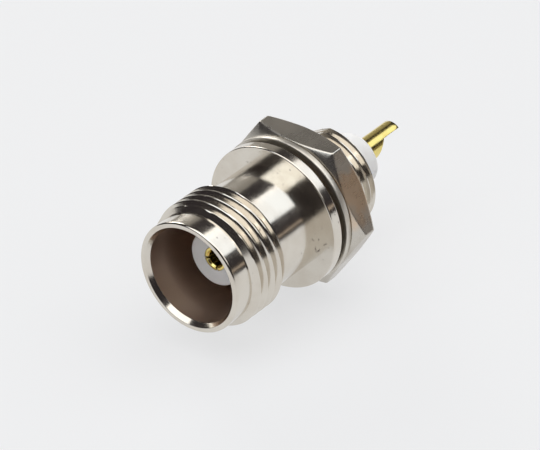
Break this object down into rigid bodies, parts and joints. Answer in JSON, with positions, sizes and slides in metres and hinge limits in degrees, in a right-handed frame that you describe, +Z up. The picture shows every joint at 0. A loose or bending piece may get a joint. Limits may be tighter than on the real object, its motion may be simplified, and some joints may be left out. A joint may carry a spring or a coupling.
{
  "type": "tnc panel mount connector",
  "caption": "Round coaxial jack with a threaded coupling, a flange, a panel nut and lock washer, a slotted gold socket in a white insulator and a rear solder cup.",
  "frame": {"origin": "centre of the flange's rear face, which seats on the panel, on the connector's axis", "axes": "+Y along the axis from the mating mouth to the solder cup, +Z up, with a pair of the nut's flats level to within two degrees"},
  "size_m": [0.015, 0.0277, 0.0132],
  "materials": {
    "bright_nickel": "bright nickel plate on brass",
    "white_ptfe": "white PTFE",
    "gold_plate": "gold plate",
    "washer_nickel": "nickel plate on spring bronze",
    "nut_nickel": "satin nickel plate on brass"
  },
  "bodies": {
    "connector": {"shell": "bright_nickel", "insulator": "white_ptfe", "centre_contact": "gold_plate"},
    "washer": {"lock_washer": "washer_nickel"},
    "nut": {"hex_nut": "nut_nickel"}
  },
  "joints": [
    {"name": "washer_slide", "type": "slide", "parent": "connector", "child": "washer", "axis": [0, 1, 0], "range_m": [-0.00046, 0.00396]},
    {"name": "nut_turn", "type": "hinge", "parent": "washer", "child": "nut", "pos_m": [0, 0, 0], "axis": [0, 1, 0], "range_deg": [-210, 1800]}
  ],
  "couplings": [
    {"joint": "nut_turn", "follows": "washer_slide", "rad_per_m": 7915.8}
  ]
}
